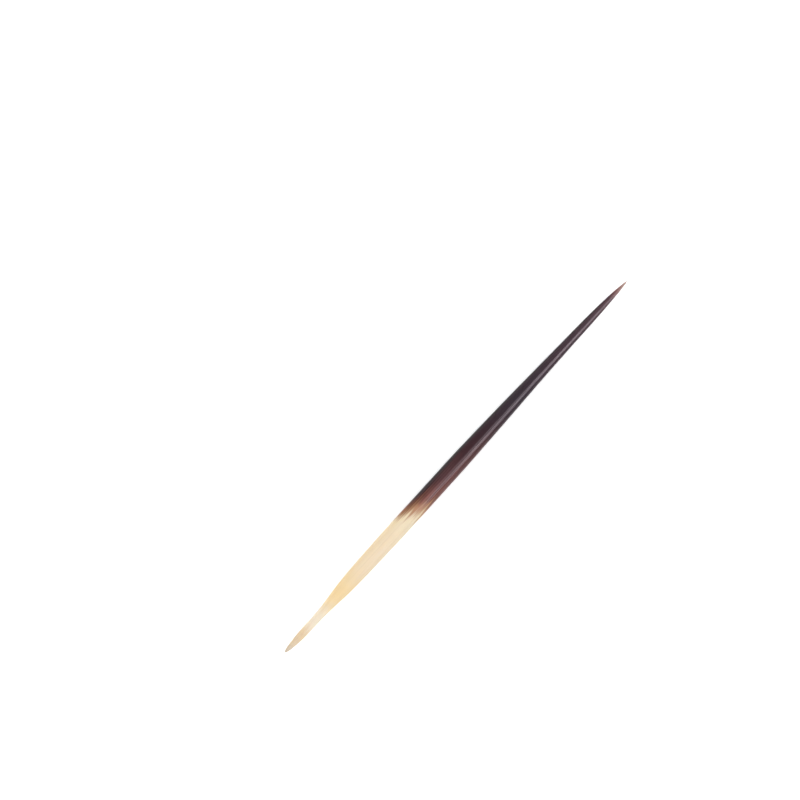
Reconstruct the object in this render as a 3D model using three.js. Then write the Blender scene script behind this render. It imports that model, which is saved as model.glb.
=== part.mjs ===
// A porcupine quill, lying on its belly as it rests on a table.
// It is one grown piece of keratin: a thin root with a neck, a shoulder that swells to the belly,
// then a long taper to a needle point, with shallow flutes running all the way along.
// Millimetres, +Z up. The root is towards -X and the point towards +X.
// The origin is the middle of the underside of the quill's bounding box.

import * as THREE from "three";

// Driving dimensions
const LENGTH = 125; // root end to point
const BELLY_DIAMETER = 4.5; // across the thickest stretch
const BOW = 0.41; // how far the taper leaves the straight line from root to point, sideways
const FLUTES = 24; // ridges round the quill
const FLUTE_DEPTH = 0.045; // groove depth on the belly
const FOOT_RISE = 0.012; // how steeply the underside leaves the surface beyond the foot

// The outline from root to point: [share of the length, share of the belly's diameter].
const OUTLINE = [
  [0.0, 0.2], // blunt root end, rounded off by the root cap
  [0.016, 0.29],
  [0.036, 0.395],
  [0.055, 0.452], // slight swelling where the quill sat in the skin
  [0.08, 0.462],
  [0.105, 0.495], // neck
  [0.135, 0.612],
  [0.17, 0.795], // shoulder
  [0.21, 0.902],
  [0.265, 0.967],
  [0.33, 1.0], // belly: the stretch that the quill rests on
  [0.495, 1.0],
  [0.563, 0.938],
  [0.64, 0.842],
  [0.73, 0.69],
  [0.825, 0.552],
  [0.9, 0.452],
  [0.95, 0.322],
  [0.98, 0.184],
  [0.994, 0.078],
];
const ROOT_CAP = OUTLINE[1][0]; // share of the length over which the root end rounds off
const FOOT_ENDS = [0.33, 0.495]; // shares of the length where the level foot starts and ends
const FLUTES_START = [0.03, 0.14]; // shares of the length over which the flutes grow to full depth

// The middle line from root to point: [share of the length, share of the bow].
const MIDDLE_LINE = [
  [0.0, 0.0],
  [0.05, -0.27], // the root end is turned back from the neck
  [0.09, -0.24],
  [0.2, 0.12],
  [0.34, 0.34],
  [0.46, 0.59],
  [0.6, 0.86],
  [0.72, 1.0],
  [0.82, 0.88],
  [0.95, 0.44],
  [1.0, 0.0],
];

// Rings of vertices
const STEPS_PER_STRETCH = 2; // between two places of the outline
const CAP_STEPS = 4; // over the root cap
const RIDGE_SHARE = 0.74; // part of each flute taken by its flat ridge, the rest by its groove

// Colour along the quill: [share of the length, colour], blended between the places.
const COLOURS = [
  [0.0, 0xd9ccba],
  [0.05, 0xead1ab],
  [0.1, 0xeee0ca],
  [0.18, 0xf0d9ab],
  [0.3, 0xf3dfbe],
  [0.38, 0xe6d8c4],
  [0.44, 0x674a4c],
  [0.55, 0x3c2d30],
  [0.9, 0x3e3439],
  [0.96, 0x74575d],
  [1.0, 0x9d7770],
];

// A smooth curve through [x, y] places that never swings past them (monotone cubic).
function smoothThrough(places) {
  const rise = (i) => (places[i + 1][1] - places[i][1]) / (places[i + 1][0] - places[i][0]);
  const last = places.length - 1;
  const slopes = places.map((_, i) => {
    if (i === 0) return rise(0);
    if (i === last) return rise(last - 1);
    const [before, after] = [rise(i - 1), rise(i)];
    return before * after <= 0 ? 0 : (2 * before * after) / (before + after);
  });
  return (x) => {
    let i = 0;
    while (i < last - 1 && x > places[i + 1][0]) i += 1;
    const width = places[i + 1][0] - places[i][0];
    const t = (x - places[i][0]) / width;
    const [from, to] = [places[i][1], places[i + 1][1]];
    const [leave, arrive] = [slopes[i] * width, slopes[i + 1] * width];
    const [t2, t3] = [t * t, t * t * t];
    return (
      from * (2 * t3 - 3 * t2 + 1) +
      leave * (t3 - 2 * t2 + t) +
      to * (3 * t2 - 2 * t3) +
      arrive * (t3 - t2)
    );
  };
}

const outlineShare = smoothThrough(OUTLINE);
const bowShare = smoothThrough(MIDDLE_LINE);

// Half the angle that a flat ridge takes up, seen from the middle line.
const HALF_RIDGE = (Math.PI / FLUTES) * RIDGE_SHARE;

// Height of the foot, the narrow flat under the belly, against the middle line:
// it takes in the lowest ridge and one ridge to each side.
const FOOT_ANGLE = (2 * Math.PI) / FLUTES + HALF_RIDGE;
const FOOT_HEIGHT = (-BELLY_DIAMETER / 2 / Math.cos(HALF_RIDGE)) * Math.cos(FOOT_ANGLE);

// Lowest height that the skin may reach: level over the foot, rising gently beyond it.
function undersideAt(share) {
  const beyond = Math.max(0, FOOT_ENDS[0] - share, share - FOOT_ENDS[1]);
  return FOOT_HEIGHT + FOOT_RISE * LENGTH * beyond;
}

// Radius at a share of the length, to the flat of a ridge.
function radiusAt(share) {
  const body = (BELLY_DIAMETER / 2) * outlineShare(share);
  const left = Math.max(0, 1 - share / ROOT_CAP);
  return body * Math.sqrt(1 - left * left);
}

// Groove depth at a share of the length: none at the root end, then in step with the girth.
function grooveAt(share) {
  const [start, full] = FLUTES_START;
  const grown = THREE.MathUtils.smoothstep(share, start, full);
  return FLUTE_DEPTH * grown * outlineShare(share);
}

// Sideways place of the middle line.
function middleAt(share) {
  return BOW * bowShare(share);
}

// Shares of the length that carry a ring: eased over the root cap, then even between places.
function ringShares() {
  const shares = [];
  for (let step = 1; step < CAP_STEPS; step += 1) {
    shares.push(ROOT_CAP * (1 - Math.cos((step / CAP_STEPS) * (Math.PI / 2))));
  }
  for (let i = 1; i < OUTLINE.length - 1; i += 1) {
    const [from, to] = [OUTLINE[i][0], OUTLINE[i + 1][0]];
    for (let step = 0; step < STEPS_PER_STRETCH; step += 1) {
      shares.push(from + ((to - from) * step) / STEPS_PER_STRETCH);
    }
  }
  shares.push(OUTLINE.at(-1)[0]);
  return shares;
}

// One fluted ring: each flute is a flat ridge, then a V groove. The lowest three are level.
function ring(share) {
  const [radius, groove, middle] = [radiusAt(share), grooveAt(share), middleAt(share)];
  const corner = radius / Math.cos(HALF_RIDGE);
  const valley = corner * Math.cos(Math.PI / FLUTES - HALF_RIDGE) - groove;
  const lowest = undersideAt(share);
  const points = [];
  for (let flute = 0; flute < FLUTES; flute += 1) {
    const ridge = (flute / FLUTES) * 2 * Math.PI - Math.PI / 2;
    const spots = [
      [ridge - HALF_RIDGE, corner],
      [ridge + HALF_RIDGE, corner],
      [ridge + Math.PI / FLUTES, valley],
    ];
    for (const [angle, reach] of spots) {
      const height = Math.max(reach * Math.sin(angle), lowest);
      points.push([share * LENGTH, middle + reach * Math.cos(angle), height]);
    }
  }
  return points;
}

// The closed skin: a fan at the root end, bands between rings, and a fan to the point.
function quillGeometry() {
  const rings = ringShares().map(ring);
  const round = rings[0].length;
  const vertices = rings.flat();
  const rootEnd = vertices.push([0, middleAt(0), 0]) - 1;
  const point = vertices.push([LENGTH, middleAt(1), 0]) - 1;
  const lastRow = (rings.length - 1) * round;
  const faces = [];
  for (let i = 0; i < round; i += 1) {
    const next = (i + 1) % round;
    faces.push([rootEnd, next, i]);
    for (let row = 0; row < rings.length - 1; row += 1) {
      const [here, ahead] = [row * round, (row + 1) * round];
      faces.push([here + i, here + next, ahead + next], [here + i, ahead + next, ahead + i]);
    }
    faces.push([lastRow + i, lastRow + next, point]);
  }
  const geometry = new THREE.BufferGeometry();
  geometry.setAttribute("position", new THREE.Float32BufferAttribute(vertices.flat(), 3));
  geometry.setIndex(faces.flat());
  return geometry;
}

// Cream at the root half and brown-black to the point, as vertex colours.
function addColours(geometry) {
  const position = geometry.getAttribute("position");
  const colours = [];
  for (let i = 0; i < position.count; i += 1) {
    const share = position.getX(i) / LENGTH;
    let place = 0;
    while (place < COLOURS.length - 2 && share > COLOURS[place + 1][0]) place += 1;
    const [from, to] = [COLOURS[place], COLOURS[place + 1]];
    const blend = (share - from[0]) / (to[0] - from[0]);
    const colour = new THREE.Color(from[1]).lerp(new THREE.Color(to[1]), blend);
    colours.push(colour.r, colour.g, colour.b);
  }
  geometry.setAttribute("color", new THREE.Float32BufferAttribute(colours, 3));
}

// Puts the origin in the middle of the underside of the bounding box.
function standOnOrigin(geometry) {
  geometry.computeBoundingBox();
  const box = geometry.boundingBox;
  geometry.translate(-(box.min.x + box.max.x) / 2, -(box.min.y + box.max.y) / 2, -box.min.z);
}

const geometry = quillGeometry();
addColours(geometry);
standOnOrigin(geometry);
geometry.computeVertexNormals();

const keratin = new THREE.MeshStandardMaterial({
  name: "keratin",
  vertexColors: true,
  roughness: 0.42,
  metalness: 0,
});

const quill = new THREE.Mesh(geometry, keratin);
quill.name = "quill";

const part = new THREE.Group();
part.name = "porcupine_quill";
part.add(quill);

export default part;
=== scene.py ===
"""A porcupine quill lying on a pale table, laid out as a Blender add-on.

Metres, +Z up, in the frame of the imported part: the root is towards -X, the point towards +X,
and the origin is the middle of the underside of the quill's bounding box.
"""

import math

import bpy
import numpy as np
from bpy.props import FloatProperty, FloatVectorProperty, IntProperty, PointerProperty
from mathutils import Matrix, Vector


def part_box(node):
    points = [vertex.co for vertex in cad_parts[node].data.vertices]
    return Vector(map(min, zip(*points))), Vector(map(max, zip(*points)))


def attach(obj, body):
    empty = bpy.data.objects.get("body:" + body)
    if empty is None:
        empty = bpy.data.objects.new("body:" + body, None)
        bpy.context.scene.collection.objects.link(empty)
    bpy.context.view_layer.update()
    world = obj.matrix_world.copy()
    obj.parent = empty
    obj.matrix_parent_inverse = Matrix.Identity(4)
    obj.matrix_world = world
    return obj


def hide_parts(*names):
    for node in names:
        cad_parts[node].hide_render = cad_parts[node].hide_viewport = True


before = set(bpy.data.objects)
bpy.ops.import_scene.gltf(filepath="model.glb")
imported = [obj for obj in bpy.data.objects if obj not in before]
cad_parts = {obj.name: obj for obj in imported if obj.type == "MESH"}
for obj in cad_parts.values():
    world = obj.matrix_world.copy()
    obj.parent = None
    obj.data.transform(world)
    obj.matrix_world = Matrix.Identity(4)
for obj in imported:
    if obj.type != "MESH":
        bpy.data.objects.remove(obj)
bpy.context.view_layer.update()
LOW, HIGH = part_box("quill")

bl_info = {
    "name": "Porcupine Quill",
    "version": (1, 0, 0),
    "blender": (4, 5, 0),
    "location": "View3D > Sidebar > Quill",
    "description": "Adds a fluted, two-tone porcupine quill and a plain stage to show it on",
    "category": "Add Mesh",
}

MM = 0.001
TAU = 2 * math.pi

# The outline from root to point: share of the length, share of the belly's diameter.
OUTLINE = np.array([
    (0.0, 0.2),
    (0.016, 0.29),
    (0.036, 0.395),
    (0.055, 0.452),
    (0.08, 0.462),
    (0.105, 0.495),
    (0.135, 0.612),
    (0.17, 0.795),
    (0.21, 0.902),
    (0.265, 0.967),
    (0.33, 1.0),
    (0.495, 1.0),
    (0.563, 0.938),
    (0.64, 0.842),
    (0.73, 0.69),
    (0.825, 0.552),
    (0.9, 0.452),
    (0.95, 0.322),
    (0.98, 0.184),
    (0.994, 0.078),
    (1.0, 0.0),
])
# The middle line from root to point: share of the length, share of the bow.
MIDDLE_LINE = np.array([
    (0.0, 0.0),
    (0.05, -0.27),
    (0.09, -0.24),
    (0.2, 0.12),
    (0.34, 0.34),
    (0.46, 0.59),
    (0.6, 0.86),
    (0.72, 1.0),
    (0.82, 0.88),
    (0.95, 0.44),
    (1.0, 0.0),
])
ROOT_CAP = 0.016  # share of the length over which the root end rounds off
FLUTES_START = (0.03, 0.14)  # shares where the flutes begin and reach full depth
WRINKLES_START = (0, 0.006)  # shares where the root's wrinkles begin and reach full depth
WRINKLES_END = (0.012, 0.085)  # shares where they start to fade and are gone
FOOT_ENDS = (0.33, 0.495)  # shares between which the belly touches the table
FOOT_BLEND = 0.02  # how softly the foot runs into the round, as a share of the belly's diameter

GROOVE_DEPTHS = (0.35, 1.5)  # shallowest and deepest groove, against the mean
GROOVE_BEATS = (5, 16)  # slowest and fastest swell of a groove along the quill, in radians
GROOVE_SHARPNESS = 1.6  # above 1, so that grooves are narrower than crests
# A flute's groove darkens the colour as painted shade and dirt, and roughens the finish.
GROOVE_SHADE_AND_DIRT = 0.55  # how much a flute counts in the finish, against a wrinkle of the root
# Waves round the quill: how many, how high, and how far their phase runs on from root to point.
ROOT_PLEATS = ((5, 0.5, 25.0), (8, 0.35, -40.0), (13, 0.25, 60.0))
ROUNDNESS_WAVES = ((0, 0.35, 38.0), (2, 0.5, 7.0), (3, 0.35, 12.0), (5, 0.2, 21.0))
# The pit in the root end, from its rim inwards: share of the rim's radius, share of the depth.
PIT_RINGS = ((0.8, 0.1), (0.55, 0.6), (0.28, 0.95))
RANDOM_SEED = 11

# The fringe of pigment, in millimetres along the quill.
FRINGE_START = 45.5  # where it starts, on the side away from the bow
FRINGE_LENGTH = 12.4  # from there to the dark
FRINGE_LEAD = 2.5  # how much earlier it starts where its slant is 1
FRINGE_HURRY = 3.6  # how much shorter it is there

PALE_CONTRAST, DARK_CONTRAST = 0.12, 0.7  # how much the fine streaks change either half's colour
FRINGE_CONTRAST = 1.6  # how much more they change it near the fringe
# Grooves are painted darker, partly as shade and partly as dirt.
GROOVE_SHADE = 0.4  # how dark a groove is, against the fine streaks
PALE_ROUGHNESS, DARK_ROUGHNESS = 0.5, 0.37
BUMP_DEPTH = 0.008 * MM

TABLE_SIZE = 3.0  # metres along a side


def from_hex(code):
    """A colour written as six hexadecimal digits of sRGB, as linear red, green, blue and alpha."""
    shares = [int(code[i:i + 2], 16) / 255 for i in (0, 2, 4)]
    linear = [s / 12.92 if s <= 0.04045 else ((s + 0.055) / 1.055) ** 2.4 for s in shares]
    return (*linear, 1.0)


def length_property(name, millimetres, description):
    """A size that a user may change, given here in millimetres."""
    return FloatProperty(
        name=name, description=description, default=millimetres * MM, min=0, unit="LENGTH", precision=5
    )


def colour_property(name, code, description):
    """A surface colour that a user may change."""
    return FloatVectorProperty(
        name=name, description=description, default=from_hex(code), subtype="COLOR", size=4, min=0, max=1
    )


class QuillSizes(bpy.types.PropertyGroup):
    """Sizes of the quill."""

    length: FloatProperty(
        name="Length", description="Root end to point", default=HIGH.x - LOW.x, min=0, unit="LENGTH"
    )
    belly_diameter: length_property("Belly", 4.5, "Across the thickest stretch")
    bow: length_property("Bow", 0.41, "How far the taper leaves the straight line from root to point")
    foot_height: length_property("Foot height", 2.1166, "Middle line of the belly above the table")
    foot_rise: FloatProperty(
        name="Foot rise", description="How steeply the underside leaves the table", default=0.012, min=0
    )
    flutes: IntProperty(name="Flutes", description="Ridges round the quill", default=24, min=3)
    flute_depth: length_property("Flute depth", 0.022, "Mean depth of a groove on the belly")
    wrinkle_depth: length_property("Wrinkle depth", 0.05, "Depth of the dried root's pleats")
    out_of_round: FloatProperty(
        name="Out of round", description="Share by which a section strays from a circle",
        default=0.005, min=0, subtype="FACTOR",
    )
    pit_depth: length_property("Pit depth", 0.22, "Depth of the small pit in the root end")
    sides_per_flute: IntProperty(name="Sides a flute", description="Mesh columns", default=8, min=4)


class QuillColours(bpy.types.PropertyGroup):
    """Colours of the quill, from the root to the point."""

    root_tip: colour_property("Root tip", "C2B5A4", "Greyish rim of the root end")
    root_end: colour_property("Root end", "CFC1AD", "Dried end that sat deepest in the skin")
    root_band: colour_property("Root band", "DBC4A2", "Tan band above the root end")
    root_stain: colour_property("Root stain", "B89078", "Darker spots on the root")
    neck: colour_property("Neck", "E8DCC9", "Pale, slightly pink neck")
    shoulder: colour_property("Shoulder", "E8CE9D", "Golden shoulder")
    belly: colour_property("Belly", "E4D2B7", "Cream belly")
    pale_end: colour_property("Pale end", "E2D4B7", "Greyer cream just before the pigment")
    orange_blotch: colour_property("Blotches", "E3AF6C", "Faint orange blotches on the shoulder")
    fringe_tan: colour_property("Fringe tan", "AE8262", "First pigment, in streaks")
    fringe_gold: colour_property("Fringe gold", "7E4A22", "Warmer pigment on the bowed side")
    fringe_brown: colour_property("Fringe brown", "744840", "Denser pigment behind the fringe")
    plum: colour_property("Plum", "4F3234", "Dark part next to the fringe")
    wine: colour_property("Wine", "35191E", "Dark part of the belly")
    umber: colour_property("Umber", "261C26", "Dark part of the taper")
    ash: colour_property("Ash", "3F2C34", "Paler dark part where the quill gets thin")
    wash: colour_property("Wash", "544B51", "Faint grey bloom on the bowed side of the taper")
    # Black is painted shade: it darkens the bowed side of the dark part, as a close neighbour would shade
    # it.
    black: colour_property("Black", "0E090B", "Blackest side of the dark part")
    point_brown: colour_property("Point brown", "7D5352", "Reddish brown near the point")
    point_tan: colour_property("Point tan", "A6897F", "Worn very point")


class StageSettings(bpy.types.PropertyGroup):
    """Table, light and camera."""

    floor_colour: colour_property("Table", "E8E8E8", "Plain pale table")
    floor_glow: FloatProperty(
        name="Table glow", description="How much the table shines by itself to look at", default=0.56, min=0
    )
    floor_bounce: FloatProperty(
        name="Table bounce", description="Share of the table's glow that reaches the quill",
        default=0.3, min=0, max=1, subtype="FACTOR",
    )
    tent: FloatProperty(
        name="Tent", description="Light from the white tent all round", default=0.35, min=0
    )
    end_lights: FloatProperty(
        name="End lights", description="Strength of the soft lights beyond the quill's two ends",
        default=4.8, min=0,
    )
    end_spread: FloatProperty(
        name="End spread", description="How wide each end light looks from the quill",
        default=math.radians(120), subtype="ANGLE",
    )
    softbox_power: FloatProperty(
        name="Softbox", description="Power of the long softbox", default=4.8, min=0, unit="POWER"
    )
    softbox_length: length_property("Softbox length", 300, "Along the quill")
    softbox_width: length_property("Softbox width", 250, "Across the quill")
    softbox_ahead: length_property("Softbox ahead", 160, "How far the softbox stands towards the point")
    softbox_distance: length_property("Softbox distance", 600, "From the quill")
    softbox_tilt: FloatProperty(
        name="Softbox tilt", description="Angle of the softbox from straight above",
        default=math.radians(35.5), subtype="ANGLE",
    )
    lens: FloatProperty(name="Lens", description="Focal length in millimetres", default=100, min=10)
    view_width: length_property("View width", 197.8, "What the camera takes in at the quill")
    view_turn: FloatProperty(
        name="View turn", description="How far the quill is turned up from the picture's bottom edge",
        default=math.radians(47.33), subtype="ANGLE",
    )
    aside: length_property("Aside", 21.135, "How far the camera stands to the quill's bowed side")
    ahead: length_property("Ahead", 2.69, "How far the camera stands towards the point")


class QuillSettings(bpy.types.PropertyGroup):
    """All that the panel shows."""

    sizes: PointerProperty(type=QuillSizes)
    colours: PointerProperty(type=QuillColours)
    stage: PointerProperty(type=StageSettings)


# ---------------------------------------------------------------- shape


def smooth_through(places):
    """A smooth curve through rows of x and y that never swings past them (monotone cubic)."""
    xs, ys = places.T
    rises = np.diff(ys) / np.diff(xs)
    before, after = rises[:-1], rises[1:]
    same_way = before * after > 0
    middle = np.where(same_way, 2 * before * after / np.where(same_way, before + after, 1), 0)
    slopes = np.concatenate([rises[:1], middle, rises[-1:]])

    def curve(x):
        i = np.clip(np.searchsorted(xs, x, side="right") - 1, 0, len(xs) - 2)
        width = xs[i + 1] - xs[i]
        t = (x - xs[i]) / width
        return (
            ys[i] * (2 * t**3 - 3 * t**2 + 1)
            + slopes[i] * width * (t**3 - 2 * t**2 + t)
            + ys[i + 1] * (3 * t**2 - 2 * t**3)
            + slopes[i + 1] * width * (t**3 - t**2)
        )

    return curve


outline_share = smooth_through(OUTLINE)
bow_share = smooth_through(MIDDLE_LINE)


def smoothstep(x, start, end):
    """0 before start, 1 after end, and an eased step between."""
    t = np.clip((x - start) / (end - start), 0, 1)
    return t * t * (3 - 2 * t)


def radius_at(share, sizes):
    """Radius to the crests of the flutes."""
    left = np.clip(1 - share / ROOT_CAP, 0, 1)
    return sizes.belly_diameter / 2 * outline_share(share) * np.sqrt(1 - left**2)


def drop_at(share, radius, sizes):
    """How far the underside hangs below the middle line: the radius, eased off above the table."""
    beyond = np.maximum(0, np.maximum(FOOT_ENDS[0] - share, share - FOOT_ENDS[1]))
    limit = sizes.foot_height - sizes.foot_rise * sizes.length * beyond
    blend = FOOT_BLEND * sizes.belly_diameter
    return (radius + limit - np.sqrt((radius - limit) ** 2 + blend**2) + blend) / 2


def ring_shares():
    """Shares of the length that carry a ring, closer together at both ends."""
    neck_end, point_length = 0.12, 0.05
    point_start = 1 - point_length
    first_turn = 0.12  # of the ring round the pit, in radians round the root's cap
    last_step = 0.985  # how far into the point the last ring lies
    crowding = 1.3  # above 1, so that the rings there stand closer and closer
    root = ROOT_CAP * (1 - np.cos(np.linspace(first_turn, math.pi / 2, 26)))
    neck = np.linspace(ROOT_CAP, neck_end, 66)[1:]
    body = np.linspace(neck_end, point_start, 336)[1:]
    point = point_start + point_length * (1 - (1 - np.linspace(0, last_step, 40)[1:]) ** crowding)
    return np.concatenate([root, neck, body, point])


def column_turns(sizes):
    """Angle of each column of the mesh round the quill: 0 on the bowed side, the first below."""
    sides = sizes.flutes * sizes.sides_per_flute
    return np.arange(sides) / sides * TAU - math.pi / 2


def waves_round(share, turn, waves, random):
    """A sum of waves round the quill, each with a chance start, that drift as they run along it."""
    return sum(
        height * np.cos(count * turn + drift * share + random.uniform(0, TAU))
        for count, height, drift in waves
    )


def flute_pattern(share, turn, sizes, random):
    """Depth of the grooves as a share of the mean: 0 on a crest, about 1 in a groove."""
    wander = 0.22 * np.sin(4.2 * share + 0.8)  # sideways, in widths of a flute
    phase = (turn + math.pi / 2) / TAU * sizes.flutes + wander
    groove = np.floor(phase).astype(int) % sizes.flutes
    depth = random.uniform(*GROOVE_DEPTHS, sizes.flutes)[groove]
    beat = random.uniform(*GROOVE_BEATS, sizes.flutes)[groove]
    start = random.uniform(0, TAU, sizes.flutes)[groove]
    swell = 0.8 + 0.35 * np.sin(beat * share + start)
    return depth * swell * (0.5 - 0.5 * np.cos(TAU * phase)) ** GROOVE_SHARPNESS


def wrinkle_pattern(share, turn, random):
    """Depth of the root's pleats, about -0.5 to 0.5: a few uneven folds that die out up the neck."""
    mean_depth = 0.35  # below a half, so that the ridges are broader than the furrows
    even_depth = 0.45  # of the skin without pleats
    folds = np.clip(mean_depth + waves_round(share, turn, ROOT_PLEATS, random), 0, 1) - even_depth
    return folds * (1 - smoothstep(share, *WRINKLES_END)) * smoothstep(share, *WRINKLES_START)


def quill_skin(sizes):
    """Each ring's share of the length, and its vertices with how deep in a groove they lie."""
    random = np.random.default_rng(RANDOM_SEED)
    share = ring_shares()[:, None]
    turn = column_turns(sizes)[None, :]

    crest = radius_at(share, sizes)
    girth = crest / (sizes.belly_diameter / 2)
    flutes = flute_pattern(share, turn, sizes, random) * smoothstep(share, *FLUTES_START)
    wrinkles = wrinkle_pattern(share, turn, random)
    stray = waves_round(share, turn, ROUNDNESS_WAVES, random) * sizes.out_of_round * crest
    reach = crest - sizes.flute_depth * girth * flutes - sizes.wrinkle_depth * wrinkles + stray
    under = drop_at(share, crest, sizes) / crest

    across = sizes.bow * bow_share(share) + reach * np.cos(turn)
    up = reach * np.sin(turn) * np.where(np.sin(turn) < 0, under, 1)
    skin = np.stack([np.broadcast_to(share * sizes.length, across.shape), across, up], axis=-1)
    # How deep in a flute or wrinkle: it darkens the colour as painted shade and dirt, and roughens the
    # finish.
    groove = np.clip(GROOVE_SHADE_AND_DIRT * flutes + wrinkles, 0, 1)
    return share[:, 0], skin, groove


def with_root_pit(skin, groove, sizes):
    """Adds the rings of the small pit in the root end, inside the first ring."""
    rim = skin[0]
    middle = rim.mean(axis=0)
    rings = []
    for inward, depth in PIT_RINGS:
        ring = middle + (rim - middle) * inward
        ring[:, 0] += depth * sizes.pit_depth
        rings.insert(0, ring)
    # The pit's rings count as full grooves, so painted shade and dirt darken them most.
    shaded_and_dirty = np.full((len(rings), groove.shape[1]), 1.0)
    return np.concatenate([np.array(rings), skin]), np.concatenate([shaded_and_dirty, groove])


def grid_faces(rows, sides):
    """Quads between neighbouring rings, and a fan at each end to one more vertex."""
    here = np.arange((rows - 1) * sides).reshape(rows - 1, sides)
    beside = np.roll(here, -1, axis=1)
    quads = np.stack([here, beside, beside + sides, here + sides], axis=-1).reshape(-1, 4)
    first, last = np.arange(sides), (rows - 1) * sides + np.arange(sides)
    root_end, point = rows * sides, rows * sides + 1
    root_fan = [(root_end, int(b), int(a)) for a, b in zip(first, np.roll(first, -1))]
    point_fan = [(point, int(a), int(b)) for a, b in zip(last, np.roll(last, -1))]
    return quads.tolist() + root_fan + point_fan


def unrolled_map(mesh, skin, sides):
    """A UV map of the skin, unrolled and cut into four lengths laid one above the other."""
    strips, margin, gap, inset = 4, 0.012, 0.03, 0.001
    steps = np.linalg.norm(np.diff(skin.mean(axis=1), axis=0), axis=1)
    widths = np.linalg.norm(skin - skin.mean(axis=1, keepdims=True), axis=2).mean(axis=1)
    travel = np.concatenate([[0], np.cumsum(np.hypot(steps, np.diff(widths)))])
    travel = inset + (1 - 2 * inset) * travel / travel[-1]
    rows = len(travel)
    strip = np.minimum((travel[:-1] * strips).astype(int), strips - 1)

    def place(row, side, on):
        u = margin + (1 - 2 * margin) * (travel[row] * strips - on)
        v = (on + gap + (1 - 2 * gap) * side / sides) / strips
        return np.stack(np.broadcast_arrays(u, v), axis=-1)

    row, side = np.divmod(np.arange((rows - 1) * sides), sides)
    on = strip[row]
    corners = [place(row, side, on), place(row, side + 1, on)]
    corners += [place(row + 1, side + 1, on), place(row + 1, side, on)]
    quads = np.stack(corners, axis=1).reshape(-1, 2)

    around = np.arange(sides)
    ends = []
    for row, on, outward, turns in ((0, 0, -1, (1, 0)), (rows - 1, strips - 1, 1, (0, 1))):
        tip = place(row, around + 0.5, on) + (outward * margin / 3, 0)
        ends.append(np.stack([tip, *(place(row, around + turn, on) for turn in turns)], axis=1))
    uv = np.concatenate([quads, *(end.reshape(-1, 2) for end in ends)])
    mesh.uv_layers.new(name="OFBake").uv.foreach_set("vector", uv.astype(np.float32).ravel())


def add_finish_attributes(mesh, share, groove, sizes):
    """Where each vertex would be on a straight rod of the belly's width, in mm, and its groove."""
    turn = column_turns(sizes)
    length, rod = sizes.length / MM, sizes.belly_diameter / 2 / MM
    rows = np.broadcast_arrays((share * length)[:, None], rod * np.cos(turn), rod * np.sin(turn))
    straight = np.stack(rows, axis=-1).reshape(-1, 3)
    straight = np.concatenate([straight, [(0, 0, 0), (length, 0, 0)]]).astype(np.float32)
    # The pit's bottom counts as a full groove, darkened by painted shade and dirt; the point as none.
    depth = np.concatenate([groove.ravel(), [1.0, 0.0]]).astype(np.float32)
    mesh.attributes.new("straightened", "FLOAT_VECTOR", "POINT").data.foreach_set("vector", straight.ravel())
    mesh.attributes.new("groove", "FLOAT", "POINT").data.foreach_set("value", depth)


def quill_mesh(sizes):
    """The quill's closed skin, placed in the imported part's box."""
    share, skin, groove = quill_skin(sizes)
    skin, groove = with_root_pit(skin, groove, sizes)
    rows, sides = groove.shape
    share = np.concatenate([np.full(rows - len(share), share[0]), share])

    last_step = 0.05  # from the pit's last ring to its bottom, as a share of the depth
    root_end = skin[0].mean(axis=0) + (last_step * sizes.pit_depth, 0, 0)
    point = (sizes.length, sizes.bow * bow_share(1.0), 0)
    vertices = np.concatenate([skin.reshape(-1, 3), [root_end, point]])
    lowest, highest = vertices.min(axis=0), vertices.max(axis=0)
    shift = (LOW.x, (LOW.y + HIGH.y - lowest[1] - highest[1]) / 2, LOW.z - lowest[2])
    vertices = vertices + shift

    mesh = bpy.data.meshes.new("porcupine_quill")
    mesh.from_pydata(vertices.tolist(), [], grid_faces(rows, sides))
    mesh.polygons.foreach_set("use_smooth", [True] * len(mesh.polygons))
    add_finish_attributes(mesh, share, groove, sizes)
    unrolled_map(mesh, skin, sides)
    if mesh.validate():
        raise RuntimeError("the quill's mesh had faults")
    return mesh


# ---------------------------------------------------------------- finish


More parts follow.
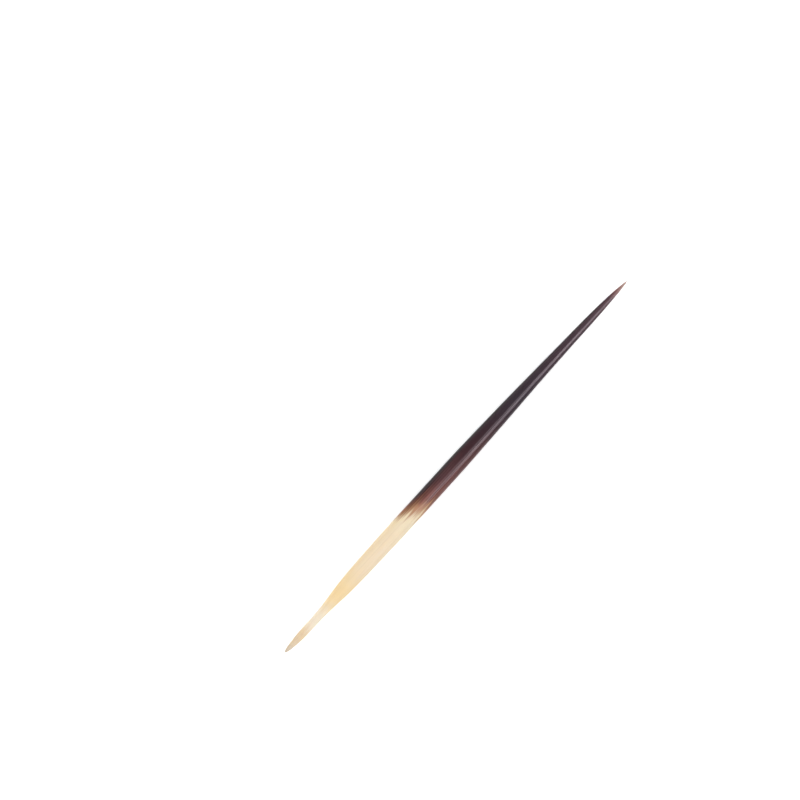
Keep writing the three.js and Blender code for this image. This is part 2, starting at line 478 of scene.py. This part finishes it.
class Graph:
    """A node tree, with short ways to add nodes to it and to join them."""

    def __init__(self, tree):
        self.tree = tree
        self.tree.nodes.clear()

    def add(self, kind, values=(), **settings):
        """Adds a node. values maps its inputs to numbers, colours or other nodes' outputs."""
        node = self.tree.nodes.new(kind)
        node.location = (200 * (len(self.tree.nodes) % 12), -260 * (len(self.tree.nodes) // 12))
        for name, value in settings.items():
            setattr(node, name, value)
        for name, value in dict(values).items():
            if isinstance(value, bpy.types.NodeSocket):
                self.tree.links.new(value, node.inputs[name])
            else:
                node.inputs[name].default_value = value
        return node

    def math(self, operation, *values):
        """One sum on numbers or outputs."""
        return self.add("ShaderNodeMath", dict(enumerate(values)), operation=operation).outputs[0]

    def ease(self, value, start, end, low=0.0, high=1.0):
        """low up to start, high from end on, and an eased step between."""
        values = {"Value": value, "From Min": start, "From Max": end, "To Min": low, "To Max": high}
        return self.add("ShaderNodeMapRange", values, interpolation_type="SMOOTHSTEP").outputs[0]

    def mix(self, factor, first, second, blend="MIX"):
        """Two colours mixed."""
        node = self.add("ShaderNodeMix", data_type="RGBA", blend_type=blend)
        for index, value in ((0, factor), (6, first), (7, second)):
            if isinstance(value, bpy.types.NodeSocket):
                self.tree.links.new(value, node.inputs[index])
            else:
                node.inputs[index].default_value = value
        return node.outputs[2]

    def weighted(self, start, *terms):
        """start with each (value, weight) of terms added to it."""
        total = start
        for value, weight in terms:
            total = self.math("MULTIPLY_ADD", value, weight, total)
        return total

    def bands(self, along, start, end, stops):
        """A colour for a place from start to end, eased through (place, colour) stops."""
        share = self.math("DIVIDE", self.math("SUBTRACT", along, start), end - start)
        node = self.add("ShaderNodeValToRGB", {"Fac": share})
        elements = node.color_ramp.elements
        node.color_ramp.interpolation = "B_SPLINE"
        while len(elements) < len(stops):
            elements.new(1)
        for element, (place, colour) in zip(elements, stops):
            element.position = (place - start) / (end - start)
            element.color = colour
        return node.outputs["Color"]


def streak_group():
    """Shader node group: uneven streaks that run along the quill, as a value about 0.5."""
    tree = bpy.data.node_groups.get("Lengthwise streaks")
    if tree:
        return tree
    tree = bpy.data.node_groups.new("Lengthwise streaks", "ShaderNodeTree")
    tree.interface.new_socket("Place", in_out="INPUT", socket_type="NodeSocketVector")
    for name, default in (("Width", 1.0), ("Length", 10.0), ("Detail", 2.0), ("Seed", 0.0)):
        socket = tree.interface.new_socket(name, in_out="INPUT", socket_type="NodeSocketFloat")
        socket.default_value = default
    tree.interface.new_socket("Streak", in_out="OUTPUT", socket_type="NodeSocketFloat")

    graph = Graph(tree)
    given = graph.add("NodeGroupInput").outputs
    spread = {"X": given["Length"], "Y": given["Width"], "Z": given["Width"]}
    spread = graph.add("ShaderNodeCombineXYZ", spread).outputs[0]
    place = graph.add("ShaderNodeVectorMath", {0: given["Place"], 1: spread}, operation="DIVIDE")
    noise = graph.add(
        "ShaderNodeTexNoise",
        {"Vector": place.outputs[0], "W": given["Seed"], "Scale": 1.0, "Detail": given["Detail"]},
        noise_dimensions="4D",
    )
    graph.add("NodeGroupOutput", {"Streak": noise.outputs[0]})
    return tree


def streaks(graph, place, width, length, seed, detail=2.0):
    """Streaks about 0, most within -0.5 to 0.5, of a mean width and length in millimetres."""
    node = graph.add("ShaderNodeGroup", node_tree=streak_group())
    values = {"Width": width, "Length": length, "Detail": detail, "Seed": seed}
    for name, value in values.items():
        node.inputs[name].default_value = value
    graph.tree.links.new(place, node.inputs["Place"])
    return graph.math("SUBTRACT", node.outputs[0], 0.5)


def pale_colour(graph, place, along, side, colours):
    """Cream of the root half, in soft bands along the quill, with warm streaks and a painted reflection that
    turns the bowed edge golden.
    """
    wobble = streaks(graph, place, width=1.6, length=9.0, seed=1.0)
    wobble = graph.math("MULTIPLY", wobble, graph.ease(along, 3.0, 9.0))
    cream = graph.bands(graph.weighted(along, (wobble, 5.0)), 0.0, 60.0, [
        (0.0, colours.root_tip),
        (0.72, colours.root_tip),
        (2.1, colours.root_end),
        (5.1, colours.root_band),
        (6.9, colours.root_band),
        (9.0, colours.neck),
        (12.9, colours.neck),
        (16.8, colours.shoulder),
        (22.2, colours.shoulder),
        (27.6, colours.belly),
        (37.2, colours.belly),
        (44.4, colours.pale_end),
    ])
    blotch = streaks(graph, place, width=1.1, length=3.2, seed=2.0, detail=3.0)
    blotch = graph.ease(blotch, 0.08, 0.3, high=0.4)
    on_shoulder = graph.math("MULTIPLY", graph.ease(along, 14, 19), graph.ease(along, 34, 26))
    cream = graph.mix(graph.math("MULTIPLY", blotch, on_shoulder), cream, colours.orange_blotch)
    stain = streaks(graph, place, width=1.4, length=1.3, seed=13.0, detail=3.0)
    stain = graph.ease(stain, 0.0, 0.22, high=0.55)
    on_root = graph.ease(along, 8.5, 6.5)
    cream = graph.mix(graph.math("MULTIPLY", stain, on_root), cream, colours.root_stain)
    warm = graph.ease(streaks(graph, place, width=0.7, length=12.0, seed=3.0), -0.2, 0.25, high=0.25)
    # Painted reflection: the bowed edge of the cream is mixed towards golden, as if a neighbouring quill
    # shone into it.
    painted_reflection = graph.math("MULTIPLY", graph.ease(side, 0.2, 0.95, high=0.33), graph.ease(along, 20, 28))
    return graph.mix(graph.math("ADD", warm, painted_reflection), cream, colours.shoulder)


def dark_colour(graph, place, along, side, colours):
    """Brown-black of the half towards the point, brown at the very point, and darkened towards black on the
    bowed side by painted shade.
    """
    wobble = streaks(graph, place, width=1.2, length=18.0, seed=4.0)
    moved = graph.weighted(along, (wobble, graph.ease(along, 125, 100, low=2.0, high=9.0)))
    dark = graph.bands(moved, 45.0, 125.0, [
        (54.6, colours.plum),
        (60.2, colours.plum),
        (68.2, colours.wine),
        (81.8, colours.umber),
        (88.2, colours.umber),
        (101.0, colours.ash),
        (118.6, colours.ash),
        (121.4, colours.point_brown),
        (123.4, colours.point_tan),
    ])
    not_at_point = graph.ease(along, 122, 114)
    # A faint lighter grey mixed in on the bowed side of the taper, short of the point.
    wash = graph.math("MULTIPLY", graph.ease(side, -0.05, 0.3, high=0.16), graph.ease(along, 66, 84))
    dark = graph.mix(graph.math("MULTIPLY", wash, not_at_point), dark, colours.wash)
    # Painted shade: the bowed side of the dark part is darkened towards black, in streaks, short of the
    # point.
    painted_shade = graph.weighted(side, (streaks(graph, place, width=0.6, length=25.0, seed=5.0), 0.6))
    painted_shade = graph.ease(painted_shade, 0.6, 0.9, high=0.9)
    return graph.mix(graph.math("MULTIPLY", painted_shade, not_at_point), dark, colours.black)


def pigment_amount(graph, place, along, side):
    """How far the pigment has set in: 0 in the cream, 1 in the dark, streaky between.

    The fringe slants. From the side away from the bow it steps a little towards the root, stays
    level across the top, and then runs on towards the root as far as the bowed side.
    """
    step_start, step_height = -0.55, 0.45
    climb, climb_offset = 1.8, -0.14
    step = graph.math("MAXIMUM", graph.math("SUBTRACT", side, step_start), 0.0)
    step = graph.math("MINIMUM", step, step_height)
    slant = graph.math("MAXIMUM", graph.math("MULTIPLY_ADD", side, climb, climb_offset), step)
    start = graph.weighted(FRINGE_START, (slant, -FRINGE_LEAD))
    reach = graph.weighted(FRINGE_LENGTH, (slant, -FRINGE_HURRY))
    even = graph.math("DIVIDE", graph.math("SUBTRACT", along, start), reach)
    return graph.weighted(
        even,
        (streaks(graph, place, width=1.3, length=16.0, seed=6.0), 0.4),
        (streaks(graph, place, width=0.45, length=12.0, seed=7.0), 0.7),
        (streaks(graph, place, width=0.2, length=10.0, seed=8.0), 1.1),
    )


def blended_colour(graph, place, along, side, ripe, pigmented, colours):
    """The cream, then the fringe's tan and brown, then the dark, by how ripe the pigment is."""
    pale = pale_colour(graph, place, along, side, colours)
    dark = dark_colour(graph, place, along, side, colours)
    colour = graph.mix(graph.ease(ripe, -0.05, 0.33), pale, colours.fringe_tan)
    colour = graph.mix(graph.ease(ripe, 0.3, 0.67), colour, colours.fringe_brown)
    golden = graph.math("MULTIPLY", graph.ease(side, 0.15, 0.95, high=0.6), graph.ease(ripe, 1.2, 0.6))
    golden = graph.math("MULTIPLY", golden, graph.ease(ripe, -0.1, 0.25))
    colour = graph.mix(golden, colour, colours.fringe_gold)
    colour = graph.mix(graph.ease(ripe, 0.6, 1.25), colour, dark)
    # Lighter brown on the side away from the bow, fading out by 82 mm: partly the quill's browner pigment,
    # partly painted sheen that widens the highlight.
    brown_and_sheen = graph.math("MULTIPLY", graph.ease(side, 0.1, -0.5, high=0.45), graph.ease(along, 82, 56))
    return graph.mix(graph.math("MULTIPLY", brown_and_sheen, pigmented), colour, colours.fringe_brown)


def streaked_colour(graph, place, colour, streak, groove, contrast, colours):
    """The colour with its fine light and dark streaks, grooves darkened by painted shade and dirt, and a few
    brown flecks.
    """
    shade = graph.math("SUBTRACT", streak, graph.math("MULTIPLY", groove, GROOVE_SHADE))
    shade = graph.weighted(1.0, (shade, contrast))
    tone = graph.add("ShaderNodeCombineColor", {"Red": shade, "Green": shade, "Blue": shade}).outputs[0]
    colour = graph.mix(1.0, colour, tone, "MULTIPLY")
    fleck = streaks(graph, place, width=0.16, length=0.6, seed=11.0, detail=1.0)
    return graph.mix(graph.ease(fleck, 0.22, 0.3, high=0.35), colour, colours.fringe_brown)


def keratin_material(colours, sizes):
    """Satin keratin: cream root half, streaky fringe of pigment, brown-black taper."""
    material = bpy.data.materials.new("keratin")
    material.use_nodes = True
    graph = Graph(material.node_tree)
    place = graph.add("ShaderNodeAttribute", attribute_name="straightened").outputs["Vector"]
    groove = graph.add("ShaderNodeAttribute", attribute_name="groove").outputs["Fac"]
    parts = graph.add("ShaderNodeSeparateXYZ", {0: place}).outputs
    along = parts["X"]
    side = graph.math("DIVIDE", parts["Y"], sizes.belly_diameter / 2 / MM)
    ripe = pigment_amount(graph, place, along, side)
    pigmented = graph.ease(ripe, 0.1, 0.9)
    hairline = streaks(graph, place, width=0.12, length=14.0, seed=9.0)
    fine = streaks(graph, place, width=0.3, length=12.0, seed=10.0)

    colour = blended_colour(graph, place, along, side, ripe, pigmented, colours)
    near_fringe = graph.math("MULTIPLY", graph.ease(ripe, 0.1, 0.6), graph.ease(along, 68, 52))
    contrast = graph.ease(pigmented, 0.0, 1.0, low=PALE_CONTRAST, high=DARK_CONTRAST)
    contrast = graph.weighted(contrast, (near_fringe, FRINGE_CONTRAST))
    streak = graph.math("ADD", hairline, fine)
    colour = streaked_colour(graph, place, colour, streak, groove, contrast, colours)

    patch = streaks(graph, place, width=0.9, length=5.0, seed=12.0, detail=3.0)
    rough = graph.ease(pigmented, 0.0, 1.0, low=PALE_ROUGHNESS, high=DARK_ROUGHNESS)
    rough = graph.weighted(rough, (patch, 0.3), (fine, 0.15), (groove, 0.12))

    grain = graph.add("ShaderNodeTexNoise", {"Vector": place, "Scale": 2.2, "Detail": 3.0}).outputs[0]
    height = graph.weighted(fine, (hairline, 0.5), (grain, 0.3))
    bump = graph.add("ShaderNodeBump", {"Height": height, "Strength": 1.0, "Distance": BUMP_DEPTH})

    shader = graph.add("ShaderNodeBsdfPrincipled", {
        "Base Color": colour,
        "Roughness": rough,
        "Normal": bump.outputs[0],
        "IOR": 1.54,
        "Specular IOR Level": 0.28,
        "Specular Tint": (1.0, 0.88, 0.95, 1.0),
        "Subsurface Weight": 0.3,
        "Subsurface Radius": (1.0, 0.85, 0.6),
        "Subsurface Scale": 0.7 * MM,
    })
    graph.add("ShaderNodeOutputMaterial", {"Surface": shader.outputs[0]})
    return material


# ---------------------------------------------------------------- stage


def add_object(name, data):
    """A new object in the scene."""
    made = bpy.data.objects.new(name, data)
    bpy.context.scene.collection.objects.link(made)
    return made


def glow(graph, look, light):
    """A strength that is look where the camera sees the glow, and light where it lights something."""
    seen = graph.add("ShaderNodeLightPath").outputs["Is Camera Ray"]
    return graph.ease(seen, 0.0, 1.0, low=light, high=look)


def table_material(stage):
    """Pale without gloss, whiter to look at than the light that it throws up."""
    material = bpy.data.materials.new("table_white")
    material.use_nodes = True
    graph = Graph(material.node_tree)
    shader = graph.add("ShaderNodeBsdfPrincipled", {
        "Base Color": stage.floor_colour,
        "Specular IOR Level": 0.0,
        "Emission Color": stage.floor_colour,
        "Emission Strength": glow(graph, stage.floor_glow, stage.floor_glow * stage.floor_bounce),
    })
    graph.add("ShaderNodeOutputMaterial", {"Surface": shader.outputs[0]})
    return material


def add_floor(stage):
    """A plain flat table under the quill."""
    half = TABLE_SIZE / 2
    corners = [(-half, -half, 0), (half, -half, 0), (half, half, 0), (-half, half, 0)]
    mesh = bpy.data.meshes.new("table")
    mesh.from_pydata(corners, [], [(0, 1, 2, 3)])
    mesh.materials.append(table_material(stage))
    floor = add_object("table", mesh)


def add_tent(stage):
    """A white tent all round: dim as a light, so that the gloss stays dark, but plain white to look at."""
    world = bpy.data.worlds.new("tent")
    world.use_nodes = True
    graph = Graph(world.node_tree)
    strength = glow(graph, 1.0, stage.tent)
    white = graph.add("ShaderNodeBackground", {"Color": (1, 1, 1, 1), "Strength": strength})
    graph.add("ShaderNodeOutputWorld", {"Surface": white.outputs[0]})
    bpy.context.scene.world = world


def add_end_lights(stage):
    """Two wide soft lights, level with the table, that light the quill evenly all the way round."""
    for name, turn in (("point_light", math.pi / 2), ("root_light", -math.pi / 2)):
        light = bpy.data.lights.new(name, "SUN")
        light.energy = stage.end_lights
        light.angle = stage.end_spread
        lamp = add_object(name, light)
        lamp.rotation_euler = (0, turn, 0)
        lamp.visible_glossy = False


def add_softbox(stage):
    """A softbox beside the quill, opposite its bow, which draws the highlight and nothing else."""
    light = bpy.data.lights.new("softbox", "AREA")
    light.shape = "RECTANGLE"
    light.size = stage.softbox_length
    light.size_y = stage.softbox_width
    light.energy = stage.softbox_power
    box = add_object("softbox", light)
    tilt, distance = stage.softbox_tilt, stage.softbox_distance
    box.location = (stage.softbox_ahead, -distance * math.sin(tilt), distance * math.cos(tilt))
    box.rotation_euler = (tilt, 0, 0)
    box.visible_diffuse = False


def add_camera(stage):
    """A camera straight above the table."""
    data = bpy.data.cameras.new("camera")
    data.lens = stage.lens
    data.sensor_width = 36
    data.clip_start = 0.01
    camera = add_object("camera", data)
    distance = stage.view_width * data.lens / data.sensor_width
    camera.location = (stage.ahead, stage.aside, (LOW.z + HIGH.z) / 2 + distance)
    camera.rotation_euler = (0, 0, -stage.view_turn)
    bpy.context.scene.camera = camera


# ---------------------------------------------------------------- operators


class MESH_OT_porcupine_quill_add(bpy.types.Operator):
    """Adds the quill"""

    bl_idname = "mesh.porcupine_quill_add"
    bl_label = "Porcupine Quill"

    def execute(self, context):
        settings = context.scene.quill_settings
        mesh = quill_mesh(settings.sizes)
        mesh.materials.append(keratin_material(settings.colours, settings.sizes))
        piece = add_object("porcupine_quill", mesh)
        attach(piece, "root")
        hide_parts("quill")
        return {"FINISHED"}


class SCENE_OT_quill_stage_add(bpy.types.Operator):
    """Adds the table, the light and the camera"""

    bl_idname = "scene.quill_stage_add"
    bl_label = "Quill Stage"

    def execute(self, context):
        stage = context.scene.quill_settings.stage
        add_floor(stage)
        add_tent(stage)
        add_end_lights(stage)
        add_softbox(stage)
        add_camera(stage)
        context.scene.view_settings.view_transform = "Standard"
        return {"FINISHED"}


class VIEW3D_PT_porcupine_quill(bpy.types.Panel):
    """Lists the sizes and colours, and the operators that use them"""

    bl_label = "Porcupine Quill"
    bl_space_type = "VIEW_3D"
    bl_region_type = "UI"
    bl_category = "Quill"

    def draw(self, context):
        settings = context.scene.quill_settings
        for group, operator in (
            ((settings.sizes, settings.colours), MESH_OT_porcupine_quill_add.bl_idname),
            ((settings.stage,), SCENE_OT_quill_stage_add.bl_idname),
        ):
            box = self.layout.box()
            for properties in group:
                for name in properties.__annotations__:
                    box.prop(properties, name)
            box.operator(operator)


CLASSES = (
    QuillSizes,
    QuillColours,
    StageSettings,
    QuillSettings,
    MESH_OT_porcupine_quill_add,
    SCENE_OT_quill_stage_add,
    VIEW3D_PT_porcupine_quill,
)


def register():
    """Makes the add-on's classes and settings known."""
    for one in CLASSES:
        bpy.utils.register_class(one)
    bpy.types.Scene.quill_settings = PointerProperty(type=QuillSettings)


def unregister():
    """Takes the add-on's classes and settings away."""
    del bpy.types.Scene.quill_settings
    for one in reversed(CLASSES):
        bpy.utils.unregister_class(one)


def main():
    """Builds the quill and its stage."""
    register()
    bpy.ops.mesh.porcupine_quill_add()
    bpy.ops.scene.quill_stage_add()


if __name__ == "__main__":
    main()
